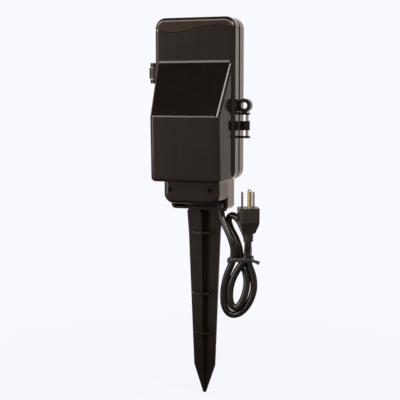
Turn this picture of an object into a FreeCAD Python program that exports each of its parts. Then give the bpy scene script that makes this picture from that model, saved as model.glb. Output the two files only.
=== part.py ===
"""Outdoor mains power stake: outlet box with a hinged in-use cover, neck, ground stake and tied cord.

Millimetres. The origin is the tip of the stake, +Z is up, the cover faces -Y and its latch is at +X.
"""

import FreeCAD, Part
import math
import os

import Sketcher
from FreeCAD import Rotation, Vector

SIZES = [
    # alias, millimetres (or degrees where the name says so)
    ("box_width", 94.8),
    ("box_height", 178.5),
    ("box_corner", 12.5),
    ("seam_reach", 18.0),
    ("back_reach", 4.0),
    ("back_round", 10.0),
    ("wall", 2.5),
    ("cover_step", 0.75),
    ("seam_gap", 0.3),
    ("plate_depth", 17.4),
    ("plate_round", 4.5),
    ("hood_depth", 32.6),
    ("hood_foot_depth", 29.6),
    ("hood_top_height", 130.0),
    ("hood_crease_height", 71.0),
    ("hood_inset", 3.0),
    ("hood_narrowing", 4.4),
    ("hood_round", 5.0),
    ("valley_round", 8.5),
    ("wave_height", 165.75),
    ("wave_swing", 3.45),
    ("wave_gap", 0.5),
    ("cord_slot_width", 11.0),
    ("cord_slot_pitch", 19.0),
    ("neck_width", 68.0),
    ("neck_taper", 2.0),
    ("neck_drop", 34.0),
    ("neck_front_drop", 27.0),
    ("neck_depth", 29.7),
    ("neck_corner", 11.0),
    ("neck_back_corner", 5.0),
    ("neck_round", 6.5),
    ("neck_screw_pitch", 47.0),
    ("neck_screw_rise", 24.5),
    ("deck_clearance", 0.15),
    ("seal_width", 3.2),
    ("seal_height", 2.0),
    ("outlet_width", 33.5),
    ("outlet_height", 27.5),
    ("outlet_pitch_across", 42.0),
    ("outlet_pitch_up", 40.0),
    ("outlet_row_rise", 27.0),
    ("outlet_raise", 2.0),
    ("outlet_depth", 15.0),
    ("outlet_clearance", 0.1),
    ("blade_spacing", 12.7),
    ("ground_offset", 11.9),
    ("slot_height", 8.1),
    ("slot_width", 2.0),
    ("ground_hole_radius", 2.6),
    ("busbar_thickness", 0.8),
    ("busbar_gap", 0.6),
    ("busbar_width", 6.0),
    ("busbar_rise", 6.0),
    ("board_width", 68.0),
    ("board_rise", 94.0),
    ("board_height", 78.0),
    ("board_thickness", 1.6),
    ("board_standoff", 4.5),
    ("sensor_rise", 167.5),
    ("sensor_radius", 2.5),
    ("dial_rise", 140.0),
    ("dial_radius", 17.0),
    ("dial_height", 8.0),
    ("dial_gap", 0.4),
    ("spindle_radius", 3.0),
    ("running_clearance", 0.05),
    ("hinge_out", 7.6),
    ("hinge_forward", 2.0),
    ("hinge_pin_radius", 1.5),
    ("hinge_rise", 118.5),
    ("lower_hinge_rise", 61.5),
    ("hinge_length", 23.0),
    ("hinge_gap", 0.4),
    ("lid_knuckle_length", 12.4),
    ("knuckle_radius", 4.6),
    ("lid_knuckle_radius", 5.8),
    ("lower_knuckle_radius", 4.0),
    ("eye_out", 6.0),
    ("eye_rise", 82.7),
    ("eye_radius", 7.6),
    ("eye_hole_radius", 3.55),
    ("tab_thickness", 3.6),
    ("latch_pin_out", 7.8),
    ("latch_pin_back", 2.2),
    ("latch_pin_radius", 1.6),
    ("latch_arm_low", 46.8),
    ("latch_arm_high", 72.5),
    ("latch_arm_height", 2.6),
    ("latch_hub_low", 55.6),
    ("latch_hub_height", 10.2),
    ("latch_hub_radius", 3.1),
    ("latch_plate_thickness", 2.0),
    ("latch_gap", 0.4),
    ("latch_reach", 14.0),
    ("screw_inset", 9.0),
    ("screw_low_rise", 9.5),
    ("screw_radius", 1.6),
    ("screw_head_radius", 3.3),
    ("screw_head_height", 2.4),
    ("boss_radius", 4.2),
    ("stake_length", 218.0),
    ("blade_width", 42.5),
    ("blade_mid_width", 38.5),
    ("blade_low_width", 25.5),
    ("blade_thickness", 2.3),
    ("blade_shoulder", 4.0),
    ("rib_reach", 15.0),
    ("rib_low_reach", 9.0),
    ("point_height", 33.0),
    ("tip_width", 3.0),
    ("disc_radius", 14.4),
    ("disc_low_radius", 11.0),
    ("disc_thickness", 2.0),
    ("disc_low_height", 71.7),
    ("disc_mid_height", 118.6),
    ("disc_high_height", 189.2),
    ("tang_width", 33.0),
    ("tang_height", 23.0),
    ("tang_clearance", 0.1),
    ("socket_wall", 2.6),
    ("stake_screw_radius", 2.0),
    ("cord_radius", 4.0),
    ("gland_across", 23.4),
    ("gland_forward", 11.0),
    ("gland_radius", 5.9),
    ("gland_flange", 7.0),
    ("gland_drop", 1.6),
    ("lead_radius", 1.1),
    ("tie_height", 8.0),
    ("tie_thickness", 1.6),
    ("hank_thickness", 17.0),
    ("hank_back_reach", 3.6),
    ("hank_length", 71.0),
    ("hank_round", 18.0),
    ("hank_inner", 27.0),
    ("hank_outer", 65.5),
    ("waist_inner", 34.6),
    ("waist_outer", 61.0),
    ("short_loop_reach", 1.0),
    ("short_loop_depth", 9.6),
    ("tie_drop", 51.5),
    ("tie_tail", 7.4),
    ("plug_rise", 27.9),
    ("plug_width", 22.5),
    ("plug_thickness", 24.0),
    ("plug_height", 28.0),
    ("plug_foot_width", 13.5),
    ("plug_turn_degrees", 27.0),
    ("prong_blade_length", 17.0),
    ("prong_blade_width", 6.35),
    ("prong_blade_thickness", 1.5),
    ("prong_pin_radius", 2.4),
    ("prong_pin_length", 21.0),
    ("relief_radius", 5.6),
    ("relief_height", 10.0),
]


class Size:
    """A length that carries its spreadsheet expression beside its value."""

    def __init__(self, value, text):
        self.value = float(value)
        self.text = text

    @staticmethod
    def of(other):
        return other if isinstance(other, Size) else Size(other, f"({float(other)!r})")

    def __add__(self, other):
        other = Size.of(other)
        return Size(self.value + other.value, f"({self.text} + {other.text})")

    def __sub__(self, other):
        other = Size.of(other)
        return Size(self.value - other.value, f"({self.text} - {other.text})")

    def __mul__(self, other):
        other = Size.of(other)
        return Size(self.value * other.value, f"({self.text} * {other.text})")

    def __truediv__(self, other):
        other = Size.of(other)
        return Size(self.value / other.value, f"({self.text} / {other.text})")

    def __neg__(self):
        return self * -1.0

    __radd__ = __add__
    __rmul__ = __mul__


class Lengths:
    """The named sizes, read as attributes."""


def make_sheet(document):
    """Write every driving size to its own cell and return them as Size values."""
    sheet = document.addObject("Spreadsheet::Sheet", "Dims")
    lengths = Lengths()
    for row, (alias, value) in enumerate(SIZES, start=1):
        sheet.set(f"A{row}", alias)
        sheet.set(f"B{row}", str(value))
        sheet.setAlias(f"B{row}", alias)
        setattr(lengths, alias, Size(value, f"Dims.{alias}"))
    document.recompute()
    return lengths


doc = FreeCAD.newDocument("PowerStake")
d = make_sheet(doc)
nodes = []

# Heights and planes that several pieces share
box_bottom = d.stake_length + d.neck_drop
box_top = box_bottom + d.box_height
half_box = d.box_width / 2
half_cover = half_box - d.cover_step
seam = -d.seam_reach
back = d.back_reach
rim = seam - d.seam_gap
plate = seam - d.plate_depth
hood_front = plate - d.hood_depth
neck_bottom = d.stake_length
neck_front_bottom = box_bottom - d.neck_front_drop
neck_front = seam - d.neck_depth
neck_top = box_bottom - 0.4
deck_back = seam + d.wall
inner_back = back - d.wall
NONE = Size.of(0.0)


# ---------------------------------------------------------------- modelling helpers


def bind(item, prop, size):
    """Tie a property to its size's expression."""
    item.setExpression(prop, Size.of(size).text)


def place(item, x, y, z):
    """Tie a primitive's position to three sizes."""
    for axis, size in zip("xyz", (x, y, z)):
        bind(item, f"Placement.Base.{axis}", size)


def keep(item, label):
    """Name a finished sub-part; its label becomes its file name."""
    item.Label = label
    nodes.append(item)
    return item


def box(x0, x1, y0, y1, z0, z1):
    """A block between three pairs of planes."""
    block = doc.addObject("Part::Box", "Block")
    bind(block, "Length", Size.of(x1) - x0)
    bind(block, "Width", Size.of(y1) - y0)
    bind(block, "Height", Size.of(z1) - z0)
    place(block, x0, y0, z0)
    return block


def rod(axis, x, y, z, radius, length):
    """A cylinder that starts at a point and runs along an axis, named by its letter."""
    cylinder = doc.addObject("Part::Cylinder", "Rod")
    direction = {"x": Vector(1, 0, 0), "y": Vector(0, 1, 0), "z": Vector(0, 0, 1)}[axis]
    cylinder.Placement.Rotation = Rotation(Vector(0, 0, 1), direction)
    bind(cylinder, "Radius", radius)
    bind(cylinder, "Height", length)
    place(cylinder, x, y, z)
    return cylinder


def joined(*pieces):
    """Several overlapping solids as one."""
    union = doc.addObject("Part::MultiFuse", "Joined")
    union.Shapes = list(pieces)
    union.Refine = True
    return union


def without(base, *tools):
    """A solid with others cut away."""
    cut = doc.addObject("Part::Cut", "Cut")
    cut.Base = base
    cut.Tool = tools[0] if len(tools) == 1 else joined(*tools)
    return cut


def shared(first, second):
    """What two solids have in common."""
    common = doc.addObject("Part::Common", "Shared")
    common.Base = first
    common.Tool = second
    return common


def group(*pieces):
    """Separate solids kept together in one sub-part."""
    compound = doc.addObject("Part::Compound", "Group")
    compound.Links = list(pieces)
    return compound


def new_body():
    return doc.addObject("PartDesign::Body", "Body")


def sketch_on(body, plane, offset):
    """A sketch on one of the body's own planes, moved along +X, +Y or +Z by offset."""
    sketch = body.newObject("Sketcher::SketchObject", "Sketch")
    role = {"x": "YZ_Plane", "y": "XZ_Plane", "z": "XY_Plane"}[plane]
    origin_plane = [item for item in body.Origin.OriginFeatures if item.Role == role][0]
    sketch.AttachmentSupport = [(origin_plane, "")]
    sketch.MapMode = "FlatFace"
    bind(sketch, "AttachmentOffset.Base.z", -Size.of(offset) if plane == "y" else offset)
    return sketch


def fix_point(sketch, index, end, across, up):
    """Hold one end of a sketch line at a position given by two sizes."""
    for kind, size in (("DistanceX", Size.of(across)), ("DistanceY", Size.of(up))):
        number = sketch.addConstraint(Sketcher.Constraint(kind, -1, 1, index, end, size.value))
        sketch.setExpression(f"Constraints[{number}]", size.text)


def polygon(sketch, corners):
    """A closed outline of straight lines through the corners."""
    points = [(Size.of(a), Size.of(b)) for a, b in corners]
    count = len(points)
    first = sketch.GeometryCount
    for here, there in zip(points, points[1:] + points[:1]):
        start = Vector(here[0].value, here[1].value, 0)
        finish = Vector(there[0].value, there[1].value, 0)
        sketch.addGeometry(Part.LineSegment(start, finish), False)
    for n in range(count):
        after = first + (n + 1) % count
        sketch.addConstraint(Sketcher.Constraint("Coincident", first + n, 2, after, 1))
    for n, (across, up) in enumerate(points):
        fix_point(sketch, first + n, 1, across, up)
    return sketch


def rectangle(sketch, a0, a1, b0, b1):
    return polygon(sketch, [(a0, b0), (a1, b0), (a1, b1), (a0, b1)])


def circle(sketch, across, up, radius):
    """A circle bound to its centre and radius."""
    across, up, radius = Size.of(across), Size.of(up), Size.of(radius)
    centre = Vector(across.value, up.value, 0)
    index = sketch.addGeometry(Part.Circle(centre, Vector(0, 0, 1), radius.value), False)
    fix_point(sketch, index, 3, across, up)
    number = sketch.addConstraint(Sketcher.Constraint("Radius", index, radius.value))
    sketch.setExpression(f"Constraints[{number}]", radius.text)
    return sketch


def pad(body, sketch, length, both_ways=False):
    """Thicken a sketch along its plane's normal: +X, -Y or +Z."""
    feature = body.newObject("PartDesign::Pad", "Pad")
    feature.Profile = sketch
    bind(feature, "Length", length)
    if both_ways:
        feature.SideType = "Symmetric"
    sketch.Visibility = False
    doc.recompute()
    return feature


def pocket(body, sketch, length):
    """Cut a sketch against its plane's normal: towards -X, +Y or -Z."""
    before = body.Shape.Volume
    feature = body.newObject("PartDesign::Pocket", "Pocket")
    feature.Profile = sketch
    bind(feature, "Length", length)
    doc.recompute()
    if not body.Shape.Volume < before:
        raise RuntimeError("a pocket removed nothing")
    return feature


def edges_where(shape, test):
    """Names of the edges that pass a test on their two end points."""
    found = []
    for number, edge in enumerate(shape.Edges, start=1):
        ends = [vertex.Point for vertex in edge.Vertexes]
        if len(ends) == 2 and test(ends[0], ends[1]):
            found.append(f"Edge{number}")
    return found


def fillet(body, radius, test):
    """Round the edges of the body's latest feature that pass the test."""
    doc.recompute()
    base = body.Tip
    names = edges_where(base.Shape, test)
    if not names:
        raise RuntimeError("no edge to round")
    feature = body.newObject("PartDesign::Fillet", "Fillet")
    feature.Base = (base, names)
    bind(feature, "Radius", radius)
    doc.recompute()
    return feature


def same(first, second, limit=0.01):
    return abs(first - second) < limit


def along_y(p, q):
    return same(p.x, q.x) and same(p.z, q.z)


def along_z(p, q):
    return same(p.x, q.x) and same(p.y, q.y)


def at_y(size):
    """A test for edges that lie in the plane at one y."""
    y = Size.of(size).value
    return lambda p, q: same(p.y, y) and same(q.y, y)


# ---------------------------------------------------------------- cord path


def arc_path(points):
    """Straight runs joined by tangent arcs, each as large as its two runs allow."""
    edges = []
    radii = []
    start = points[0]
    for before, corner, after in zip(points, points[1:], points[2:]):
        incoming = (corner - before).normalize()
        outgoing = (after - corner).normalize()
        turn = incoming.getAngle(outgoing)
        reach = 0.45 * min((corner - before).Length, (after - corner).Length)
        radii.append(reach / math.tan(turn / 2))
        first = corner - incoming * reach
        last = corner + outgoing * reach
        bisector = (outgoing - incoming).normalize()
        to_centre = radii[-1] / math.cos(turn / 2)
        middle = corner + bisector * (to_centre - radii[-1])
        edges.append(Part.LineSegment(start, first).toShape())
        edges.append(Part.Arc(first, middle, last).toShape())
        start = last
    edges.append(Part.LineSegment(start, points[-1]).toShape())
    return Part.Wire(edges), radii


def tube(label, points, radius):
    """A round tube along a path of runs and arcs."""
    path, radii = arc_path(points)
    direction = points[1] - points[0]
    ring = Part.Wire(Part.Circle(points[0], direction, radius).toShape())
    solid = path.makePipeShell([ring], True, False)
    expected = math.pi * radius**2 * path.Length
    if abs(solid.Volume - expected) > 0.02 * expected:
        raise RuntimeError(f"{label} has the wrong volume")
    print(label, "radii", [round(value, 1) for value in radii], "length", round(path.Length, 1))
    feature = doc.addObject("Part::Feature", label)
    feature.Shape = solid
    return feature


# ---------------------------------------------------------------- housing


def rounded_slab(body, half_width, low, high, corner, front, rear):
    """A slab between two y planes whose outline has four round corners."""
    outline = rectangle(sketch_on(body, "y", rear), -half_width, half_width, low, high)
    pad(body, outline, Size.of(rear) - front)
    fillet(body, corner, along_y)


def case_form(inset, front):
    """The box's back half as a solid, shrunk by an inset."""
    body = new_body()
    half_width = half_box - inset
    rounded_slab(
        body, half_width, box_bottom + inset, box_top - inset, d.box_corner - inset, front, back - inset
    )
    fillet(body, d.back_round - inset, at_y(back - inset))
    return body


def neck_form(inset, front, top):
    """The neck's rear half as a solid, shrunk by an inset."""
    body = new_body()
    half_width = d.neck_width / 2 - inset
    low = neck_bottom + inset
    outline = rectangle(sketch_on(body, "y", back - inset), -half_width, half_width, low, top)
    pad(body, outline, back - inset - front)
    low_z = low.value
    fillet(body, d.neck_back_corner - inset, lambda p, q: along_y(p, q) and same(p.z, low_z))
    return body


def make_rear_housing():
    """Back shell: box, rear half of the neck, bosses, stake socket, hinge and latch brackets."""
    outside = joined(case_form(NONE, seam), neck_form(NONE, seam, box_bottom + 4))
    inside = joined(case_form(d.wall, seam - 5), neck_form(d.wall, seam - 5, box_bottom + 8))
    gland_hole = rod("z", d.gland_across, -d.gland_forward, neck_bottom - 1, d.gland_radius, d.wall + 2)
    shell = without(outside, inside, gland_hole)

    half_screw = half_box - d.screw_inset
    boss_start = inner_back - 4.0
    bosses = []
    bores = []
    for side in (-1, 1):
        for rise in (d.screw_low_rise, d.box_height - d.screw_low_rise):
            across = half_screw * side
            up = box_bottom + rise
            bosses.append(rod("y", across, boss_start, up, d.boss_radius, 4.5))
            bores.append(rod("y", across, boss_start - 1, up, d.screw_radius + 0.3, back - boss_start + 2))
            head_depth = d.screw_head_height + 1.2
            bores.append(rod("y", across, back - head_depth, up, d.screw_head_radius + 0.2, head_depth + 1))
    for side in (-1, 1):
        across = d.neck_screw_pitch / 2 * side
        up = neck_bottom + d.neck_screw_rise
        length = inner_back - deck_back - 0.2
        bosses.append(rod("y", across, deck_back + 0.2, up, d.boss_radius - 0.4, length + 0.5))
        bores.append(rod("y", across, deck_back - 1, up, d.screw_radius, length))

    half_tang = d.tang_width / 2
    socket_front = -d.blade_thickness / 2 - d.tang_clearance - d.socket_wall
    half_socket = half_tang + d.socket_wall
    socket_top = neck_bottom + d.tang_height + 2
    bosses.append(box(-half_socket, half_socket, socket_front, inner_back + 0.5, neck_bottom + 1, socket_top))
    half_slot = d.blade_thickness / 2 + d.tang_clearance
    bores.append(
        box(
            -half_tang - d.tang_clearance,
            half_tang + d.tang_clearance,
            -half_slot,
            half_slot,
            neck_bottom - 1,
            neck_bottom + d.tang_height + 0.2,
        )
    )
    screw_height = neck_bottom + d.tang_height / 2
    bores.append(rod("y", 0, socket_front - 1, screw_height, d.stake_screw_radius, back - socket_front + 2))
    bores.append(rod("y", 0, back - 1.6, screw_height, d.stake_screw_radius * 2, 3))

    bosses += hinge_brackets()
    bosses += latch_bracket()
    bores += hinge_bores(d.hinge_pin_radius)
    eye_across = half_box + d.eye_out
    bores.append(rod("y", eye_across, seam - 1, box_bottom + d.eye_rise, d.eye_hole_radius, d.tab_thickness + 3))
    pin_low = box_bottom + d.latch_arm_low - 1
    pin_length = d.latch_arm_high - d.latch_arm_low + d.latch_arm_height + 2
    bores.append(rod("z", latch_x, latch_y, pin_low, d.latch_pin_radius, pin_length))
    keep(without(joined(shell, *bosses), *bores), "rear_housing")


hinge_x = -(half_box + d.hinge_out)
hinge_y = seam + d.hinge_forward
latch_x = half_box + d.latch_pin_out
latch_y = seam + d.latch_pin_back
HINGES = {
    "upper": (d.hinge_rise, d.knuckle_radius, d.lid_knuckle_radius),
    "lower": (d.lower_hinge_rise, d.lower_knuckle_radius, d.lower_knuckle_radius),
}


def hinge_brackets():
    """Two fixed knuckles at each hinge, with arms from the housing's left side."""
    pieces = []
    for rise, radius, _ in HINGES.values():
        middle = box_bottom + rise
        knuckle = (d.hinge_length - d.lid_knuckle_length) / 2 - d.hinge_gap
        for low in (middle - d.hinge_length / 2, middle + d.hinge_length / 2 - knuckle):
            pieces.append(rod("z", hinge_x, hinge_y, low, radius, knuckle))
            pieces.append(box(hinge_x, -half_box + 1, seam + 0.3, hinge_y + 2.5, low, low + knuckle))
    return pieces


def hinge_bores(radius):
    """The two pin holes."""
    bores = []
    for rise, _, _ in HINGES.values():
        low = box_bottom + rise - d.hinge_length / 2 - 1
        bores.append(rod("z", hinge_x, hinge_y, low, radius, d.hinge_length + 2))
    return bores


def latch_bracket():
    """Padlock eye, its strut, and the two arms that hold the latch pin."""
    eye_x = half_box + d.eye_out
    eye_z = box_bottom + d.eye_rise
    low = box_bottom + d.latch_arm_low
    high = box_bottom + d.latch_arm_high
    outer = latch_x + d.latch_pin_radius + 1.2
    root = half_box - 1
    depth = seam + d.tab_thickness
    eye = rod("y", eye_x, seam, eye_z, d.eye_radius, d.tab_thickness)
    web = box(root, eye_x, seam, depth, eye_z - d.eye_radius * 0.8, eye_z + d.eye_radius * 0.8)
    strut = box(eye_x - 3.4, eye_x + 1.2, seam, depth, high, eye_z - 5)
    upper_arm = box(root, outer, seam, latch_y + 3, high, high + d.latch_arm_height)
    lower_arm = box(root, outer, seam, latch_y + 3, low, low + d.latch_arm_height)
    return [eye, web, strut, upper_arm, lower_arm]


# ---------------------------------------------------------------- front moulding


def neck_front_form(inset):
    """The neck's front half as a solid, drawn in towards its front and shrunk by an inset."""
    body = new_body()
    half_width = d.neck_width / 2 - inset
    low = neck_front_bottom + inset
    split = box_bottom.value
    outline = rectangle(sketch_on(body, "y", seam), -half_width, half_width, low, neck_top + 25)
    block = pad(body, outline, d.neck_depth - inset)
    block.setExpression("TaperAngle", "-atan(Dims.neck_taper / Dims.neck_depth)")
    doc.recompute()
    fillet(body, d.neck_corner - inset, lambda p, q: same(p.x, q.x, 3) and abs(p.y - q.y) > 9 and p.z < split)
    fillet(body, d.neck_round - inset, at_y(neck_front + inset))
    return body


def make_deck():
    """Recessed outlet panel, with the neck's front half below it."""
    body = new_body()
    panel_half = half_box - d.wall - d.deck_clearance
    low = box_bottom + d.wall + d.deck_clearance
    high = box_top - d.wall - d.deck_clearance
    rounded_slab(body, panel_half, low, high, d.box_corner - d.wall, seam, deck_back)
    half_neck = d.neck_width / 2
    tongue_half = half_neck - d.wall - d.deck_clearance
    tongue_low = neck_front_bottom + 2
    tongue = rectangle(sketch_on(body, "y", deck_back), -tongue_half, tongue_half, tongue_low, low + 8)
    pad(body, tongue, d.wall)
    deck = body

    cavity_low = neck_front_bottom + d.wall
    neck = shared(
        neck_front_form(NONE),
        box(-half_neck - 5, half_neck + 5, neck_front - 5, seam, neck_bottom, neck_top),
    )
    cavity = shared(
        neck_front_form(d.wall),
        box(-half_neck, half_neck, neck_front, seam + 5, neck_bottom, neck_top - d.wall),
    )
    neck = without(neck, cavity)

    tools = []
    throat_half = half_neck - d.wall - d.neck_taper - 0.5
    tools.append(
        box(-throat_half, throat_half, seam - 1, deck_back + 1, cavity_low + 10, neck_top - d.wall)
    )
    posts = []
    for side in (-1, 1):
        across = d.neck_screw_pitch / 2 * side
        up = neck_bottom + d.neck_screw_rise
        posts.append(rod("y", across, neck_front + 1.5, up, d.boss_radius, deck_back - neck_front - 1.5))
    bores = [rod("z", d.gland_across, -d.gland_forward, neck_bottom, d.gland_radius + 1.2, 14)]
    for side in (-1, 1):
        across = d.neck_screw_pitch / 2 * side
        up = neck_bottom + d.neck_screw_rise
        bores.append(rod("y", across, neck_front - 1, up, d.screw_radius + 0.3, deck_back - neck_front + 2))
        bores.append(rod("y", across, neck_front - 1, up, d.screw_head_radius - 0.5, 4))
        for rise in (d.screw_low_rise, d.box_height - d.screw_low_rise):
            corner = (half_box - d.screw_inset) * side
            length = inner_back - 4.0 - deck_back
            posts.append(rod("y", corner, deck_back - 0.5, box_bottom + rise, d.boss_radius - 0.6, length + 0.5))
            bores.append(rod("y", corner, seam + 1, box_bottom + rise, d.screw_radius, length + 3))
    for across, up in outlet_centres():
        half_width = d.outlet_width / 2 + d.outlet_clearance
        half_height = d.outlet_height / 2 + d.outlet_clearance
        bores.append(
            box(across - half_width, across + half_width, seam - 1, deck_back + 1, up - half_height, up + half_height)
        )
    dial_z = box_bottom + d.dial_rise
    bores.append(rod("y", 0, seam - 1, dial_z, d.spindle_radius + 0.4, d.wall + 2))
    bores.append(rod("y", 0, seam - 1, box_bottom + d.sensor_rise, d.sensor_radius + 0.2, d.wall + 2))
    bores.append(rod("y", led_x, seam - 1, box_bottom + d.sensor_rise, 1.7, d.wall + 2))
    pillars = []
    for side in (-1, 1):
        for rise in (d.board_rise + 6, d.board_rise + d.board_height - 6):
            across = (d.board_width / 2 - 5) * side
            pillars.append(rod("y", across, deck_back - 0.5, box_bottom + rise, 2.4, d.board_standoff + 0.5))
    front = joined(without(joined(deck, neck), *tools), *posts, *pillars)
    keep(without(front, *bores), "outlet_deck")


led_x = Size.of(16.0)


def outlet_centres():
    """Centres of the four receptacles: two columns, two rows."""
    low = box_bottom + d.outlet_row_rise
    return [
        (d.outlet_pitch_across / 2 * side, low + d.outlet_pitch_up * row)
        for row in (0, 1)
        for side in (-1, 1)
    ]


def make_outlets():
    """Grounded receptacles: a raised face, a contact block, two slots and a ground hole."""
    front = seam - d.outlet_raise
    for number, (across, up) in enumerate(outlet_centres(), start=1):
        half_width = d.outlet_width / 2
        half_height = d.outlet_height / 2
        face = box(across - half_width, across + half_width, front, deck_back, up - half_height, up + half_height)
        block = box(
            across - half_width + 2,
            across + half_width - 2,
            deck_back - 0.5,
            deck_back + d.outlet_depth - d.wall,
            up - half_height + 1.5,
            up + half_height - 1.5,
        )
        blades_up = up + d.ground_offset / 3
        slots = []
        for side in (-1, 1):
            slot_x = across + d.blade_spacing / 2 * side
            half_slot = d.slot_height / 2 if side < 0 else d.slot_height / 2 - 0.65
            slots.append(
                box(
                    slot_x - d.slot_width / 2,
                    slot_x + d.slot_width / 2,
                    front - 1,
                    front + d.outlet_depth,
                    blades_up - half_slot,
                    blades_up + half_slot,
                )
            )
        ground = rod("y", across, front - 1, blades_up - d.ground_offset, d.ground_hole_radius, d.outlet_depth + 1)
        keep(without(joined(face, block), *slots, ground), f"outlet_{number}")


# ---------------------------------------------------------------- cover


def wave_solid(label, rising, gap):
    """Everything above or below the wave-shaped seam: one sine period across the cover."""
    width = half_box.value * 2.4
    middle = (box_bottom + d.wave_height).value + gap
    steps = 24
    points = []
    for n in range(steps + 1):
        x = width * (n / steps - 0.5)
        z = middle + d.wave_swing.value * math.sin(2 * math.pi * x / d.box_width.value)
        points.append(Vector(x, 0, z))
    curve = Part.BSplineCurve()
    curve.interpolate(points)
    far = box_top.value + 20 if rising else neck_bottom.value - 20
    corner_a = Vector(points[-1].x, 0, far)
    corner_b = Vector(points[0].x, 0, far)
    sides = [
        curve.toShape(),
        Part.LineSegment(points[-1], corner_a).toShape(),
        Part.LineSegment(corner_a, corner_b).toShape(),
        Part.LineSegment(corner_b, points[0]).toShape(),
    ]
    face = Part.Face(Part.Wire(sides))
    feature = doc.addObject("Part::Feature", label)
    feature.Shape = face.extrude(Vector(0, 100, 0))
    feature.Placement.Base = Vector(0, -90, 0)
    return feature


def face_form(inset):
    """The cover's flat tray from the seam to the plate, shrunk by an inset on all free sides."""
    body = new_body()
    half_width = half_cover - inset
    corner = d.box_corner - d.cover_step - inset
    low = box_bottom + inset
    high = box_top - inset
    start = rim if inset is NONE else rim + 5
    rounded_slab(body, half_width, low, high, corner, plate + inset, start)
    if inset is NONE:
        fillet(body, d.plate_round, at_y(plate))
    return body


def hood_form(inset):
    """The bubble: a side profile thickened across, with its two sides tapered."""
    body = new_body()
    crease = box_bottom + d.hood_crease_height
    top = box_bottom + d.hood_top_height
    base = plate + 3 if inset is NONE else seam - d.wall
    front = hood_front + inset
    foot = plate - d.hood_foot_depth + inset
    low = box_bottom + inset
    slope_drop = inset * 1.1
    corners = [
        (base, top - slope_drop),
        (plate, top - slope_drop),
        (front, crease - slope_drop * 0.4),
        (foot, low),
        (base, low),
    ]
    half_width = half_cover - d.hood_inset - inset
    profile = polygon(sketch_on(body, "x", -half_width), corners)
    pad(body, profile, half_width * 2)
    narrow = half_width - d.hood_narrowing
    for side in (-1, 1):
        wedge = polygon(
            sketch_on(body, "z", top + 5),
            [
                (half_width * side, plate),
                (narrow * side, hood_front),
                (narrow * side, hood_front - 5),
                ((half_width + 5) * side, hood_front - 5),
                ((half_width + 5) * side, plate),
            ],
        )
        pocket(body, wedge, d.hood_top_height + 15)
    if inset is NONE:
        ahead = plate.value - 1
        fillet(body, d.hood_round, lambda p, q: p.y < ahead or q.y < ahead)
    return body


def valley_form():
    """Concave fillet along the crease between the plate and the slope: a wedge less a cylinder."""
    top = box_bottom + d.hood_top_height
    run = d.hood_top_height - d.hood_crease_height
    slant = Size(math.hypot(run.value, d.hood_depth.value), f"sqrt({run.text} ^ 2 + {d.hood_depth.text} ^ 2)")
    reach = d.valley_round * d.hood_depth / (slant + run)
    body = new_body()
    half_width = half_cover - d.hood_inset - d.hood_round / 2
    corners = [
        (plate + d.wall / 2, top + reach),
        (plate, top + reach),
        (plate - reach * d.hood_depth / slant, top - reach * run / slant),
        (plate + d.wall / 2, top - reach),
    ]
    pad(body, polygon(sketch_on(body, "x", -half_width), corners), half_width * 2)
    roller = rod("x", -half_width - 1, plate - d.valley_round, top + reach, d.valley_round, half_width * 2 + 2)
    return without(body, roller)


def make_cover():
    """The fixed sensor cap above the wave and the hinged lid below it."""
    cap = without(face_form(NONE), face_form(d.wall))
    keep(shared(cap, wave_solid("AboveWave", True, d.wave_gap.value / 2)), "sensor_cap")

    tray = without(face_form(NONE), face_form(d.wall))
    outer = joined(tray, hood_form(NONE), valley_form())
    hollow = hood_form(d.wall)
    slots = []
    for place_number in (-1, 0, 1):
        middle = d.cord_slot_pitch * place_number
        half_slot = d.cord_slot_width / 2
        slots.append(
            box(
                middle - half_slot,
                middle + half_slot,
                plate - d.hood_foot_depth + d.wall + 2,
                neck_front - 1,
                box_bottom - 1,
                box_bottom + d.wall + 2,
            )
        )
    shell = shared(without(outer, hollow, *slots), wave_solid("BelowWave", False, -d.wave_gap.value / 2))
    additions = []
    for rise, _, radius in HINGES.values():
        low = box_bottom + rise - d.lid_knuckle_length / 2
        additions.append(rod("z", hinge_x, hinge_y, low, radius, d.lid_knuckle_length))
        arm = box(hinge_x, -half_cover + 1, hinge_y - radius, rim - 0.1, low, low + d.lid_knuckle_length)
        additions.append(arm)
    eye_x = half_box + d.eye_out
    eye_z = box_bottom + d.eye_rise
    tab_front = rim - d.tab_thickness
    additions.append(rod("y", eye_x, tab_front, eye_z, d.eye_radius, d.tab_thickness))
    half_tab = d.eye_radius * 0.8
    additions.append(box(half_cover - 1.5, eye_x, tab_front, rim, eye_z - half_tab, eye_z + half_tab))
    bores = hinge_bores(d.hinge_pin_radius + d.running_clearance)
    bores.append(rod("y", eye_x, tab_front - 1, eye_z, d.eye_hole_radius, d.tab_thickness + 2))
    keep(without(joined(shell, *additions), *bores), "lid")


def make_seal():
    """A rubber ring on the deck, just inside the cover's rim."""
    body = new_body()
    outer = half_cover - d.wall - 0.5
    low = box_bottom + d.wall + 0.5
    high = box_top - d.wall - 0.5
    rounded_slab(body, outer, low, high, d.box_corner - d.wall - 1, seam - d.seal_height, seam)
    inner = outer - d.seal_width
    window = rectangle(
        sketch_on(body, "y", seam - d.seal_height),
        -inner,
        inner,
        low + d.seal_width,
        high - d.seal_width,
    )
    pocket(body, window, d.seal_height)
    keep(body, "lid_seal")


# ---------------------------------------------------------------- electrics


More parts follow.
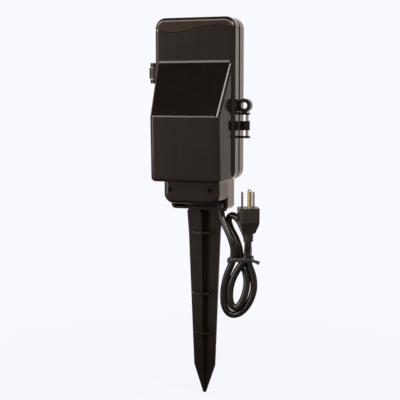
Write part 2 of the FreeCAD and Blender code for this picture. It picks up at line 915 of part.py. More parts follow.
def make_busbars():
    """Three punched strips behind the receptacles, in layers, each an upright at both columns."""
    half_pitch = d.outlet_pitch_across / 2
    low = box_bottom + d.busbar_rise
    high = box_bottom + d.outlet_row_rise + d.outlet_pitch_up + 8
    layer = d.busbar_thickness + d.busbar_gap
    first = deck_back + d.outlet_depth - d.wall + 0.1
    plans = (
        ("line_busbar", 0, d.blade_spacing / 2, 21.0),
        ("neutral_busbar", 1, -d.blade_spacing / 2, 31.0),
        ("ground_busbar", 2, Size.of(0.0), 41.0),
    )
    for label, depth, shift, link_rise in plans:
        front = first + layer * depth
        behind = front + d.busbar_thickness
        pieces = []
        for side in (-1, 1):
            middle = half_pitch * side + shift
            half_strip = d.busbar_width / 2
            pieces.append(box(middle - half_strip, middle + half_strip, front, behind, low, high))
        link = low + link_rise
        left = -half_pitch + shift
        pieces.append(box(left, half_pitch + shift, front, behind, link, link + d.busbar_width))
        keep(joined(*pieces), label)


def make_leads():
    """Three insulated wires from the cord's jacket to the busbars."""
    start_z = JACKET_END
    layer = (d.busbar_thickness + d.busbar_gap).value
    first = (deck_back + d.outlet_depth - d.wall).value + 0.1
    end_z = (box_bottom + d.busbar_rise).value
    half_pitch = d.outlet_pitch_across.value / 2
    half_spacing = d.blade_spacing.value / 2
    lead_back = inner_back.value - d.lead_radius.value - 0.2
    ends = {
        "line_lead": (half_pitch + half_spacing, first, 1.9, -0.8),
        "neutral_lead": (half_pitch - half_spacing, first + layer, -1.9, -0.8),
        "ground_lead": (-half_pitch, first + 2 * layer, 0.0, 1.9),
    }
    for label, (end_x, bar_front, aside, behind) in ends.items():
        across = d.gland_across.value + aside
        forward = -d.gland_forward.value + behind
        bar_middle = bar_front + d.busbar_thickness.value / 2
        points = [
            Vector(across, forward, start_z),
            Vector(across, forward, start_z + 7),
            Vector(across - 9, forward + 0.5, start_z + 16),
            Vector((across - 9) * 0.85 + end_x * 0.15, (forward + bar_middle) / 2, start_z + 26),
            Vector(end_x, min(bar_middle - 0.2, lead_back), end_z - 4.5),
            Vector(end_x, min(bar_middle, lead_back), end_z),
        ]
        keep(tube(label, points, d.lead_radius.value), label)


def make_board():
    """Control board with its relay, capacitor, light sensor, lamp and rotary switch."""
    front = deck_back + d.board_standoff
    behind = front + d.board_thickness
    half_board = d.board_width / 2
    low = box_bottom + d.board_rise
    board = box(-half_board, half_board, front, behind, low, low + d.board_height)
    keep(board, "circuit_board")
    relay_x = Size.of(-22.0)
    keep(box(relay_x, relay_x + 19, behind, inner_back - 0.6, low + 10, low + 26), "relay")
    can = rod("y", 18, behind, low + 18, 7.0, inner_back - behind - 1.0)
    keep(can, "capacitor")
    sensor_z = box_bottom + d.sensor_rise
    length = front - seam + 3
    keep(rod("y", 0, seam - 3, sensor_z, d.sensor_radius, length), "light_sensor")
    keep(rod("y", led_x, seam - 2, sensor_z, 1.5, length - 1), "status_led")
    dial_z = box_bottom + d.dial_rise
    housing = rod("y", 0, deck_back + 0.1, dial_z, 9.0, d.board_standoff - 0.1)
    bore = rod("y", 0, deck_back, dial_z, d.spindle_radius + d.running_clearance, d.board_standoff - 1)
    keep(without(housing, bore), "dial_switch")


def make_dial():
    """Knob with a grip bar and a plain spindle that turns in the rotary switch."""
    dial_z = box_bottom + d.dial_rise
    behind = seam - d.dial_gap
    front = behind - d.dial_height
    disc = rod("y", 0, front + 3, dial_z, d.dial_radius, d.dial_height - 3)
    grip = box(-3, 3, front, front + 4, dial_z - d.dial_radius + 3, dial_z + d.dial_radius - 1)
    spindle = rod("y", 0, behind - 1, dial_z, d.spindle_radius, d.dial_gap + d.wall + d.board_standoff - 1)
    keep(joined(disc, grip, spindle), "dial_knob")


# ---------------------------------------------------------------- hinge, latch and screws


def make_hinge_pins():
    for name, (rise, _, _) in HINGES.items():
        low = box_bottom + rise - d.hinge_length / 2
        keep(rod("z", hinge_x, hinge_y, low, d.hinge_pin_radius, d.hinge_length), f"hinge_pin_{name}")


def cover_side(side, low):
    """The space that the closed cover takes beside the latch."""
    depth = d.latch_reach + d.latch_plate_thickness * 2
    return box(side - 10, side, seam - depth, seam, low - 1, low + d.latch_hub_height + 1)


def make_latch():
    """Swinging side latch: a hub on the pin, an arm, and a lever that lies along the cover's side."""
    low = box_bottom + d.latch_arm_low
    pin_length = d.latch_arm_high - d.latch_arm_low + d.latch_arm_height
    keep(rod("z", latch_x, latch_y, low, d.latch_pin_radius, pin_length), "latch_pin")

    hub_low = box_bottom + d.latch_hub_low
    hub_high = hub_low + d.latch_hub_height
    hub = rod("z", latch_x, latch_y, hub_low, d.latch_hub_radius, d.latch_hub_height)
    side = half_cover + d.latch_gap
    outer = side + d.latch_plate_thickness
    arm_front = latch_y - d.latch_hub_radius - d.latch_plate_thickness
    arm = box(outer - 1, latch_x + 1, arm_front, latch_y - d.latch_gap, hub_low, hub_high)
    bore_radius = d.latch_pin_radius + d.running_clearance
    bore = rod("z", latch_x, latch_y, hub_low - 1, bore_radius, d.latch_hub_height + 2)
    lever = box(side, outer, seam - d.latch_reach, rim - d.latch_gap * 2, hub_low, hub_high)
    grip_front = seam - d.latch_reach
    grip = rod("z", outer, grip_front + d.latch_plate_thickness, hub_low, d.latch_plate_thickness, d.latch_hub_height)
    keep(without(joined(without(joined(lever, grip), cover_side(side, hub_low)), hub, arm), bore), "latch")


def screw(across, start, up, direction, head_radius, head_height, shank_radius, shank_length):
    """A pan-head screw along Y with a cross recess; direction is the way its point faces."""
    if direction > 0:
        head = rod("y", across, start, up, head_radius, head_height)
        shank = rod("y", across, Size.of(start) + head_height, up, shank_radius, shank_length)
        mouth = Size.of(start) - 1
    else:
        head = rod("y", across, Size.of(start) - head_height, up, head_radius, head_height)
        shank = rod("y", across, Size.of(start) - head_height - shank_length, up, shank_radius, shank_length)
        mouth = Size.of(start) - 1
    half_long = Size.of(head_radius) * 0.6
    x, z = Size.of(across), Size.of(up)
    recess = joined(
        box(x - half_long, x + half_long, mouth, mouth + 2, z - 0.45, z + 0.45),
        box(x - 0.45, x + 0.45, mouth, mouth + 2, z - half_long, z + half_long),
    )
    return without(joined(head, shank), recess)


def make_screws():
    half_pitch = half_box - d.screw_inset
    head_seat = back - d.screw_head_height - 1.2
    rear = []
    for side in (-1, 1):
        for rise in (d.screw_low_rise, d.box_height - d.screw_low_rise):
            rear.append(
                screw(
                    half_pitch * side,
                    head_seat + d.screw_head_height,
                    box_bottom + rise,
                    -1,
                    d.screw_head_radius,
                    d.screw_head_height,
                    d.screw_radius,
                    head_seat - deck_back - 0.5,
                )
            )
    keep(group(*rear), "housing_screws")
    front = []
    for side in (-1, 1):
        across = d.neck_screw_pitch / 2 * side
        seat = neck_front + 3.0
        front.append(
            screw(
                across,
                seat - d.screw_head_height,
                neck_bottom + d.neck_screw_rise,
                1,
                d.screw_head_radius - 0.6,
                d.screw_head_height,
                d.screw_radius,
                inner_back - seat - 3,
            )
        )
    keep(group(*front), "neck_screws")
    tang_z = neck_bottom + d.tang_height / 2
    seat = back - 1.6
    length = seat + d.blade_thickness / 2 + d.tang_clearance + d.socket_wall - 0.5
    keep(screw(0, seat + 1.4, tang_z, -1, d.stake_screw_radius * 2 - 0.2, 1.4, d.stake_screw_radius, length), "stake_screw")


# ---------------------------------------------------------------- stake


def tapered(half_top, half_mid, half_low):
    """Half widths of a stake wing from its shoulder to the tip, with their heights."""
    shoulder = d.stake_length - 0.2
    return [
        (half_top - d.blade_shoulder, shoulder),
        (half_top, shoulder - d.blade_shoulder),
        (half_mid, d.disc_high_height),
        (half_low, d.point_height),
        (d.tip_width / 2, Size.of(0.0)),
    ]


def make_stake():
    """Cross-shaped blade with round discs and a tang that plugs into the neck."""
    body = new_body()
    wing = tapered(d.blade_width / 2, d.blade_mid_width / 2, d.blade_low_width / 2)
    half_tang = d.tang_width / 2
    top = d.stake_length + d.tang_height
    right = [(half_tang, top)] + [(half_tang, d.stake_length - 0.2)] + wing
    left = [(-across, up) for across, up in reversed(right)]
    pad(body, polygon(sketch_on(body, "y", 0.0), right + left), d.blade_thickness, both_ways=True)
    rib = tapered(d.rib_reach, d.rib_reach * 0.96, d.rib_low_reach)
    left = [(-across, up) for across, up in reversed(rib)]
    pad(body, polygon(sketch_on(body, "x", 0.0), rib + left), d.blade_thickness, both_ways=True)
    discs = (
        (d.disc_low_height, d.disc_low_radius),
        (d.disc_mid_height, d.disc_radius),
        (d.disc_high_height, d.disc_radius),
    )
    for height, radius in discs:
        pad(body, circle(sketch_on(body, "z", height), 0.0, 0.0, radius), d.disc_thickness)
    hole = circle(
        sketch_on(body, "y", -d.rib_reach - 2), 0.0, d.stake_length + d.tang_height / 2, d.stake_screw_radius
    )
    pocket(body, hole, d.rib_reach * 2)
    keep(body, "stake")


# ---------------------------------------------------------------- cord and plug


def make_gland():
    """A flanged bush, turned about the cord's axis, that snaps into the neck's floor."""
    body = new_body()
    inner = d.cord_radius
    mouth = -d.gland_drop
    profile = [
        (inner, mouth),
        (d.gland_flange - 0.8, mouth),
        (d.gland_flange, mouth + 0.8),
        (d.gland_flange, Size.of(-0.05)),
        (d.gland_radius, Size.of(-0.05)),
        (d.gland_radius, d.wall + 0.05),
        (d.gland_radius + 0.8, d.wall + 0.05),
        (d.gland_radius - 0.4, d.wall + 5),
        (inner, d.wall + 5),
    ]
    half = polygon(sketch_on(body, "y", 0.0), profile)
    turned = body.newObject("PartDesign::Revolution", "Turned")
    turned.Profile = half
    turned.ReferenceAxis = (half, ["V_Axis"])
    turned.Angle = 360.0
    place(body, d.gland_across, -d.gland_forward, neck_bottom)
    keep(body, "cord_gland")


# Places on the cord's route, chosen along the way it hangs
JACKET_END = neck_bottom.value + 3.5
TIE_TOP = neck_bottom.value - 51.0
GLAND_X, GLAND_Y = d.gland_across.value, -d.gland_forward.value
CORD_RUN = [
    Vector(GLAND_X, GLAND_Y, JACKET_END),
    Vector(GLAND_X, GLAND_Y, TIE_TOP + 44.8),
    Vector(27.6, -12.6, TIE_TOP + 35.5),
    Vector(33.4, -14.6, TIE_TOP + 26.5),
    Vector(38.4, -16.2, TIE_TOP + 16.0),
    Vector(40.6, -16.5, TIE_TOP + 8.0),
    Vector(40.6, -16.5, TIE_TOP),
]
PLUG_RUN = [
    Vector(56.9, -16.5, TIE_TOP),
    Vector(56.9, -16.5, TIE_TOP + 5.8),
    Vector(58.1, -19.0, TIE_TOP + 12.6),
    Vector(58.5, -20.0, TIE_TOP + 19.5),
]


def make_cord():
    """The cord's free stretches and the tied hank between them."""
    keep(tube("power_cord", CORD_RUN, d.cord_radius.value), "power_cord")
    keep(tube("plug_cord", PLUG_RUN, d.cord_radius.value), "plug_cord")


hank_back = -d.hank_back_reach
hank_front = hank_back - d.hank_thickness
tie_low = neck_bottom - d.tie_drop - d.tie_height


def make_hank():
    """Outer shape of the tied coil: long loops below the tie, one short loop above it."""
    tie_high = tie_low + d.tie_height
    lower = new_body()
    outline = rectangle(
        sketch_on(lower, "y", hank_back), d.hank_inner, d.hank_outer, tie_high - d.hank_length, tie_low - 0.5
    )
    pad(lower, outline, d.hank_thickness)
    fillet(lower, d.hank_round, along_y)
    waist = box(d.waist_inner, d.waist_outer, hank_front, hank_back, tie_low - 12, tie_high + 0.5)
    upper = new_body()
    short_loop = polygon(
        sketch_on(upper, "y", d.short_loop_reach),
        [
            (d.waist_inner + 3.4, tie_high),
            (d.waist_outer - 10, tie_high),
            (d.waist_outer - 13, tie_high + 37.5),
            (d.waist_outer - 19, tie_high + 46),
            (d.waist_inner - 2.1, tie_high + 46),
            (d.waist_inner - 5.1, tie_high + 38.5),
        ],
    )
    pad(upper, short_loop, d.short_loop_depth)
    keep(joined(lower, waist, upper), "cord_hank")
    band = box(
        d.waist_inner - d.tie_thickness,
        d.waist_outer + d.tie_thickness,
        hank_front - d.tie_thickness,
        hank_back + d.tie_thickness,
        tie_low,
        tie_high,
    )
    hole = box(d.waist_inner, d.waist_outer, hank_front, hank_back, tie_low - 1, tie_high + 1)
    twist_length = d.tie_thickness + d.tie_tail
    twist = rod("x", d.waist_outer + 1, hank_front + 1, tie_low + d.tie_height * 0.45, d.tie_thickness, twist_length)
    keep(joined(without(band, hole), twist), "twist_tie")


plug_x = Size.of(58.5)
plug_y = Size.of(-20.0)
plug_foot = tie_low + d.tie_height + d.plug_rise


def turned_about_plug(item):
    """Stand a piece, modelled about its own vertical axis, at the plug and turn it."""
    place(item, plug_x, plug_y, plug_foot)
    bind(item, "Placement.Rotation.Angle", d.plug_turn_degrees)
    item.Placement.Rotation = Rotation(Vector(0, 0, 1), d.plug_turn_degrees.value)
    return item


def make_plug():
    """Grounded plug, prongs up: tapered body, ribbed strain relief, two blades and a ground pin."""
    half_width = d.plug_width / 2
    half_foot = d.plug_foot_width / 2
    half_depth = d.plug_thickness / 2
    body = new_body()
    front_outline = [
        (-half_foot, 0.0),
        (half_foot, 0.0),
        (half_width, d.plug_height * 0.45),
        (half_width, d.plug_height),
        (-half_width, d.plug_height),
        (-half_width, d.plug_height * 0.45),
    ]
    pad(body, polygon(sketch_on(body, "y", half_depth), front_outline), d.plug_thickness)
    for side in (-1, 1):
        wedge = polygon(
            sketch_on(body, "x", half_width + 2),
            [
                (half_foot * side, -1.0),
                (half_foot * side, 0.0),
                (half_depth * side, d.plug_height * 0.45),
                ((half_depth + 2) * side, d.plug_height * 0.45),
                ((half_depth + 2) * side, -1.0),
            ],
        )
        pocket(body, wedge, d.plug_width + 4)
    fillet(body, 4.0, lambda p, q: along_z(p, q))
    blades_y = d.ground_offset / 3
    ground_y = blades_y - d.ground_offset
    sockets = []
    blades = []
    for side in (-1, 1):
        middle = d.blade_spacing / 2 * side
        half_thick = d.prong_blade_thickness / 2
        half_wide = d.prong_blade_width / 2
        for pieces, top in ((sockets, d.plug_height + 1), (blades, d.plug_height + d.prong_blade_length)):
            low = d.plug_height - 8
            pieces.append(
                box(middle - half_thick, middle + half_thick, blades_y - half_wide, blades_y + half_wide, low, top)
            )
    pin_low = d.plug_height - 8
    root_radius = d.prong_pin_radius * 0.75
    sockets.append(rod("z", 0, ground_y, pin_low, root_radius, 9))
    root = rod("z", 0, ground_y, pin_low, root_radius, 9)
    pin = rod("z", 0, ground_y, d.plug_height, d.prong_pin_radius, d.prong_pin_length - d.prong_pin_radius)
    nose = doc.addObject("Part::Sphere", "Nose")
    bind(nose, "Radius", d.prong_pin_radius)
    place(nose, 0, ground_y, d.plug_height + d.prong_pin_length - d.prong_pin_radius)
    keep(turned_about_plug(without(body, *sockets)), "plug_body")
    keep(turned_about_plug(group(*blades)), "plug_blades")
    keep(turned_about_plug(joined(root, pin, nose)), "plug_ground_pin")

    relief = new_body()
    radius = d.relief_radius
    tall = d.relief_height
    low = -tall
    bore = d.cord_radius + 0.25
    profile = [(bore, low), (radius - 0.6, low)]
    for n in range(3):
        step = low + tall * (n / 3.0)
        profile += [
            (radius - 0.6, step + 0.9),
            (radius + 0.4 * n * 0.5, step + 0.9),
            (radius + 0.4 * n * 0.5, step + 2.7),
            (radius - 0.6, step + 2.7),
        ]
    profile += [(radius - 0.6, 0.0), (bore, 0.0)]
    half = polygon(sketch_on(relief, "y", 0.0), profile)
    turned = relief.newObject("PartDesign::Revolution", "Turned")
    turned.Profile = half
    turned.ReferenceAxis = (half, ["V_Axis"])
    turned.Angle = 360.0
    keep(turned_about_plug(relief), "plug_strain_relief")


# ---------------------------------------------------------------- build, check and write

make_rear_housing()
make_deck()
make_outlets()
make_cover()
make_seal()
make_busbars()
make_leads()
make_board()
make_dial()
make_hinge_pins()
make_latch()
make_screws()
make_stake()
make_gland()
make_cord()
make_hank()
make_plug()
doc.recompute()


def check_document():
    """Stop on any failed object or bad sub-part before a file is written."""
    for item in doc.Objects:
        if "Invalid" in item.State or "Error" in item.State:
            raise RuntimeError(f"{item.Name} ({item.Label}) is {item.State}")
    for item in nodes:
        if item.Shape.isNull() or not item.Shape.isValid() or not item.Shape.Solids:
            raise RuntimeError(f"{item.Label} has no valid solid")


check_document()
os.makedirs("parts", exist_ok=True)
for item in nodes:
    item.Shape.exportStep(f"parts/{item.Label}.step")
print(len(nodes), "sub-parts written")
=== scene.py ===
"""Outdoor power stake: finishes, cord, plug, trim and studio, built around the fixed frame.

Laid out as a Blender add-on and run as a script. Lengths are metres in the frame's own axes:
the stake's tip is the origin, +Z is up, the cover faces -Y and its latch is at +X.
"""

import math

import bmesh
import bpy
import numpy as np
from bpy.props import FloatProperty, FloatVectorProperty, PointerProperty
from bpy.types import Operator, Panel, PropertyGroup
from mathutils import Euler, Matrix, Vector


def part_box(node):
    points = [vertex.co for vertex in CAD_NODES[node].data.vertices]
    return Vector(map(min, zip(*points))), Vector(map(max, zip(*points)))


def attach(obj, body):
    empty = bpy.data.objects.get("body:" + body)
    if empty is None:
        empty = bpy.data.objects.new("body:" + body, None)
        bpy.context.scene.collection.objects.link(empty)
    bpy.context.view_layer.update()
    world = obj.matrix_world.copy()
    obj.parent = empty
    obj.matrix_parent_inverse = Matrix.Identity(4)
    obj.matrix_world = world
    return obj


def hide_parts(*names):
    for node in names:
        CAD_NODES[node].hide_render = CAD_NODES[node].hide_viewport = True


bl_info = {
    "name": "Outdoor Power Stake",
    "version": (1, 0, 0),
    "blender": (4, 5, 0),
    "location": "3D View > Sidebar > Power Stake",
    "description": "Finishes, cord, plug, trim and studio for an outdoor power stake",
    "category": "Object",
}

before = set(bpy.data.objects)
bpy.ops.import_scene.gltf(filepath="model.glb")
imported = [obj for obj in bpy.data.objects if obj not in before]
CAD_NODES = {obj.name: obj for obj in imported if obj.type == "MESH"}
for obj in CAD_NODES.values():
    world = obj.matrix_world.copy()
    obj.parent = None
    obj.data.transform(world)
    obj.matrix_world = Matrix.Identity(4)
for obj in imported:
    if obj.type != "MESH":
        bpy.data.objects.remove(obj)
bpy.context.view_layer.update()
FULL_TURN = 2.0 * np.pi
MERGE_DISTANCE = 1e-7
SHARP_ANGLE = math.radians(35)


def span(node):
    """Lowest and highest corner of a CAD node as two arrays."""
    low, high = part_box(node)
    return np.array(low), np.array(high)


def middle(node):
    """Centre of a CAD node's box as an array."""
    low, high = span(node)
    return (low + high) / 2


# ---------------------------------------------------------------- surfaces


def grid_mesh(name, points, around=False, along=False, caps=False):
    """Object from a grid of points P[i, j]: one four-sided face per cell.

    around joins the last column to the first, along joins the last row to the first, and caps
    close a tube's two ends with one face each. Faces are turned outwards afterwards.
    """
    rows, columns = points.shape[:2]
    number = np.arange(rows * columns).reshape(rows, columns)
    if around:
        number = np.hstack([number, number[:, :1]])
    if along:
        number = np.vstack([number, number[:1]])
    corners = (number[:-1, :-1], number[:-1, 1:], number[1:, 1:], number[1:, :-1])
    faces = np.stack(corners, axis=-1).reshape(-1, 4).tolist()
    if caps:
        faces.append(list(range(columns))[::-1])
        faces.append(list(range((rows - 1) * columns, rows * columns)))
    mesh = bpy.data.meshes.new(name)
    mesh.from_pydata(points.reshape(-1, 3).tolist(), [], faces)
    return finished(name, mesh)


def finished(name, mesh):
    """Object from a mesh: doubles merged, normals outward, smooth except at sharp edges."""
    work = bmesh.new()
    work.from_mesh(mesh)
    bmesh.ops.remove_doubles(work, verts=work.verts, dist=MERGE_DISTANCE)
    bmesh.ops.recalc_face_normals(work, faces=work.faces)
    work.to_mesh(mesh)
    work.free()
    mesh.shade_smooth()
    mesh.set_sharp_from_angle(angle=SHARP_ANGLE)
    piece = bpy.data.objects.new(name, mesh)
    bpy.context.scene.collection.objects.link(piece)
    return piece


def joined(name, pieces):
    """Several finished objects as one object."""
    bpy.ops.object.select_all(action="DESELECT")
    for piece in pieces:
        piece.select_set(True)
    bpy.context.view_layer.objects.active = pieces[0]
    bpy.ops.object.join()
    pieces[0].name = name
    pieces[0].data.name = name
    return pieces[0]


def superellipse(half_x, half_y, power, steps):
    """Closed outline: x = a |cos t|^(2/n) sign(cos t), y = b |sin t|^(2/n) sign(sin t)."""
    t = np.linspace(0.0, FULL_TURN, steps, endpoint=False)
    x = half_x * np.sign(np.cos(t)) * np.abs(np.cos(t)) ** (2.0 / power)
    y = half_y * np.sign(np.sin(t)) * np.abs(np.sin(t)) ** (2.0 / power)
    return np.stack([x, y], axis=-1)


def sweep(name, line, radius, steps):
    """Round tube along a line: circle of the given radius in each point's normal plane.

    The frame is carried along the line by removing from the last side vector its part along
    the new tangent, so the tube doesn't twist. The first side vector is any one off the line.
    """
    tangent = np.gradient(line, axis=0)
    tangent /= np.linalg.norm(tangent, axis=1)[:, None]
    side = np.cross(tangent[0], [0.3, 0.5, 0.8])
    sides = []
    for direction in tangent:
        side = side - direction * np.dot(side, direction)
        side = side / np.linalg.norm(side)
        sides.append(side)
    sides = np.array(sides)
    across = np.cross(tangent, sides)
    t = np.linspace(0.0, FULL_TURN, steps, endpoint=False)
    ring = sides[:, None] * np.cos(t)[None, :, None] + across[:, None] * np.sin(t)[None, :, None]
    return grid_mesh(name, line[:, None] + ring * radius, around=True, caps=True)


def lathe(name, profile, steps):
    """Open surface of revolution about the vertical axis: (r, z) turned through a full circle."""
    t = np.linspace(0.0, FULL_TURN, steps, endpoint=False)
    x = profile[:, 0][:, None] * np.cos(t)[None]
    y = profile[:, 0][:, None] * np.sin(t)[None]
    z = np.broadcast_to(profile[:, 1][:, None], x.shape)
    return grid_mesh(name, np.stack([x, y, z], axis=-1), around=True)


# ---------------------------------------------------------------- shader expressions


EVEN = (1.0, 1.0, 1.0)
ALONG_HEIGHT = (1.0, 1.0, 0.18)


class Amount:
    """A number that varies over a surface: arithmetic on it adds Math nodes."""

    def __init__(self, nodes, socket):
        self.nodes = nodes
        self.socket = socket

    def _with(self, operation, first, second):
        return self.nodes.add("ShaderNodeMath", {"operation": operation}, {0: first, 1: second})

    def __add__(self, other):
        return self._with("ADD", self, other)

    def __mul__(self, other):
        return self._with("MULTIPLY", self, other)

    __radd__ = __add__
    __rmul__ = __mul__


class Nodes:
    """The nodes of one tree."""

    def __init__(self, tree):
        self.tree = tree

    def add(self, kind, settings=None, inputs=None, output=0):
        """Adds a node: its settings first, then the values or links of its sockets."""
        node = self.tree.nodes.new(kind)
        for key, value in (settings or {}).items():
            setattr(node, key, value)
        for key, value in (inputs or {}).items():
            self.feed(node.inputs[key], value)
        socket = node.outputs[output]
        return Amount(self, socket) if socket.type == "VALUE" else socket

    def feed(self, socket, value):
        """Puts a number, colour, varying amount or socket into a socket."""
        if isinstance(value, Amount):
            self.tree.links.new(value.socket, socket)
        elif isinstance(value, bpy.types.NodeSocket):
            self.tree.links.new(value, socket)
        else:
            socket.default_value = value

    def ramp(self, amount, low, high):
        """0 below low, 1 above high, even between."""
        return self.add("ShaderNodeMapRange", {}, {"Value": amount, "From Min": low, "From Max": high})

    def soft_ramp(self, amount, start, end, first=0.0, last=1.0):
        """first up to start, last from end on, with an S-shaped change between."""
        sockets = {"Value": amount, "From Min": start, "From Max": end, "To Min": first, "To Max": last}
        return self.add("ShaderNodeMapRange", {"interpolation_type": "SMOOTHSTEP"}, sockets)

    def between(self, factor, first, second):
        """Number from first to second by factor."""
        return self.add("ShaderNodeMix", {}, {0: factor, 2: first, 3: second})


class Finish(Nodes):
    """One material: its principled shader's constants, and the nodes that vary it."""

    def __init__(self, name, **constants):
        self.material = bpy.data.materials.new(name)
        self.material.use_nodes = True
        super().__init__(self.material.node_tree)
        self.shader = self.tree.nodes["Principled BSDF"]
        self.place = None
        for key, value in constants.items():
            socket = key.replace("_", " ").title().replace("Ior", "IOR")
            self.shader.inputs[socket].default_value = value

    def position(self, stretch=EVEN):
        """Object coordinates, stretched along the axes."""
        if self.place is None:
            self.place = self.add("ShaderNodeTexCoord", output="Object")
        if stretch == EVEN:
            return self.place
        return self.add("ShaderNodeMapping", {}, {"Vector": self.place, "Scale": stretch})

    def noise(self, scale, detail=2.0, roughness=0.5, stretch=EVEN):
        """Noise from 0 to 1, scale in cycles a metre."""
        sockets = {"Scale": scale, "Detail": detail, "Roughness": roughness}
        return self.add("ShaderNodeTexNoise", {}, {"Vector": self.position(stretch), **sockets})

    def blend(self, factor, first, second):
        """Colour from first to second by factor."""
        settings = {"data_type": "RGBA"}
        return self.add("ShaderNodeMix", settings, {0: factor, 6: first, 7: second}, output=2)

    def set(self, socket, value):
        """Sets or links a socket of the principled shader."""
        self.feed(self.shader.inputs[socket], value)

    def bump(self, height, distance, strength):
        """Raises the surface by height times distance."""
        sockets = {"Height": height, "Distance": distance, "Strength": strength}
        self.set("Normal", self.add("ShaderNodeBump", {}, sockets))


def colour(red, green, blue):
    """Linear colour from display values of 0 to 255, by the sRGB curve."""
    linear = []
    for level in (red / 255.0, green / 255.0, blue / 255.0):
        linear.append(level / 12.92 if level <= 0.04045 else ((level + 0.055) / 1.055) ** 2.4)
    return (*linear, 1.0)


def scaled(base, factor, lift=0.0):
    """A colour times a factor, plus a lift, and no brighter than white."""
    return tuple(min(1.0, level * factor + lift) for level in base[:3]) + (1.0,)


DUST = colour(150, 140, 130)


def gloss_moulding(name, base, roughness, ripple=1.0):
    """Glossy injection-moulded plastic: faint flow waves, orange peel, soft wipe marks and dust."""
    finish = Finish(name, roughness=roughness, ior=1.5, specular_tint=(1.0, 0.9, 0.84, 1.0))
    clouds = finish.noise(22.0, 3.0)
    wipes = finish.noise(60.0, 4.0, 0.6, ALONG_HEIGHT)
    peel = finish.noise(1400.0, 1.0)
    dust = finish.ramp(finish.noise(2600.0, 2.0), 0.66, 0.74)
    tone = finish.blend(clouds, scaled(base, 0.8), scaled(base, 1.25))
    finish.set("Base Color", finish.blend(dust * 0.12, tone, DUST))
    finish.set("Roughness", wipes * 0.09 + clouds * 0.05 + dust * 0.12 + (roughness - 0.07))
    finish.bump(clouds * (5.0 * ripple) + wipes * (0.5 * ripple) + peel * 0.05, 0.00012, 0.55)
    return finish.material


def satin_vinyl(name, base, roughness=0.38):
    """Soft vinyl or rubber: fine grain, scuffs and a slightly lighter bloom."""
    finish = Finish(name, ior=1.42, specular_tint=(1.0, 0.92, 0.86, 1.0))
    grains = finish.noise(2200.0, 3.0, 0.7)
    clouds = finish.noise(70.0, 3.0)
    scuffs = finish.ramp(finish.noise(240.0, 4.0, 0.7, (1.0, 1.0, 0.35)), 0.58, 0.8)
    tone = finish.blend(clouds, base, scaled(base, 1.7, 0.004))
    finish.set("Base Color", finish.blend(scuffs * 0.25, tone, scaled(base, 3, 0.02)))
    finish.set("Roughness", grains * 0.14 + scuffs * 0.12 + (roughness - 0.07))
    finish.bump(grains + clouds * 0.4, 0.00006, 0.6)
    return finish.material


def plated_metal(name, base, roughness):
    """Plated or drawn metal: fine lines along the part and slightly duller patches."""
    finish = Finish(name, metallic=1.0)
    lines = finish.noise(3000.0, 3.0, 0.6, (1.0, 1.0, 0.05))
    patches = finish.noise(180.0, 3.0)
    worn = finish.ramp(patches, 0.45, 0.75) * 0.6
    finish.set("Base Color", finish.blend(worn, base, scaled(base, 0.6)))
    finish.set("Roughness", lines * 0.16 + patches * 0.14 + (roughness - 0.12))
    finish.bump(lines, 0.00002, 0.5)
    return finish.material


def cord_jacket():
    """Glossy black vinyl jacket with faint drawn streaks and a few scuffs."""
    jacket = tuple(settings().cord.colour)
    finish = Finish("cord jacket", ior=1.5, specular_tint=(1.0, 0.93, 0.88, 1.0))
    streaks = finish.noise(900.0, 2.0, 0.5, (1.0, 1.0, 0.12))
    clouds = finish.noise(90.0, 3.0)
    scuffs = finish.ramp(finish.noise(420.0, 4.0, 0.7), 0.6, 0.8)
    finish.set("Base Color", finish.blend(scuffs * 0.5 + clouds * 0.2, jacket, scaled(jacket, 2.2)))
    finish.set("Roughness", clouds * 0.1 + streaks * 0.06 + scuffs * 0.12 + 0.07)
    finish.bump(clouds * 1.2 + streaks * 0.3, 0.00012, 0.5)
    return finish.material


# ---------------------------------------------------------------- settings


def tint(name, description, default):
    """A colour property with its alpha."""
    return FloatVectorProperty(name=name, description=description, default=default, size=4, subtype="COLOR")


class CameraSettings(PropertyGroup):
    """Where the camera stands and how it looks."""

    lens: FloatProperty(name="Lens", description="Focal length in millimetres", default=82.9)
    distance: FloatProperty(
        name="Distance", description="From the stake's axis", default=1.05, unit="LENGTH"
    )
    height: FloatProperty(
        name="Height", description="Above the stake's tip", default=0.345, unit="LENGTH"
    )
    azimuth: FloatProperty(
        name="Azimuth",
        description="Turn towards the latch side",
        default=math.radians(20.0),
        subtype="ANGLE",
    )
    pitch: FloatProperty(
        name="Pitch", description="Downward tilt", default=math.radians(6.44), subtype="ANGLE"
    )
    pan: FloatProperty(
        name="Pan", description="Turn to the left of the axis", default=0.0053, subtype="ANGLE"
    )


class CordSettings(PropertyGroup):
    """The power cord's thickness and colour."""

    diameter: FloatProperty(name="Diameter", description="Jacket diameter", default=0.008, unit="LENGTH")
    colour: tint("Colour", "Jacket colour", (0.006, 0.0045, 0.0038, 1.0))


class ShellSettings(PropertyGroup):
    """The moulded plastic's colours and gloss."""

    brown: tint("Brown", "Moulded plastic", (0.0054, 0.0034, 0.0027, 1.0))
    smoke: tint("Smoke", "Sensor cap", (0.016, 0.009, 0.005, 1.0))
    roughness: FloatProperty(
        name="Roughness", description="Of the gloss plastic", default=0.15, min=0.0, max=1.0
    )


class StudioSettings(PropertyGroup):
    """The floor's and the room's colours and brightness."""

    background: tint("Background", "Floor and sweep", (0.94, 0.948, 1.0, 1.0))
    warmth: tint("Warmth", "Tint of the room's light", (1.0, 0.89, 0.78, 1.0))
    front_level: FloatProperty(name="Front", description="Brightness of the room in front", default=0.36)
    top_level: FloatProperty(name="Top", description="Brightness overhead", default=0.02)


class StakeSettings(PropertyGroup):
    """All the groups of settings."""

    camera: PointerProperty(type=CameraSettings)
    cord: PointerProperty(type=CordSettings)
    shell: PointerProperty(type=ShellSettings)
    studio: PointerProperty(type=StudioSettings)


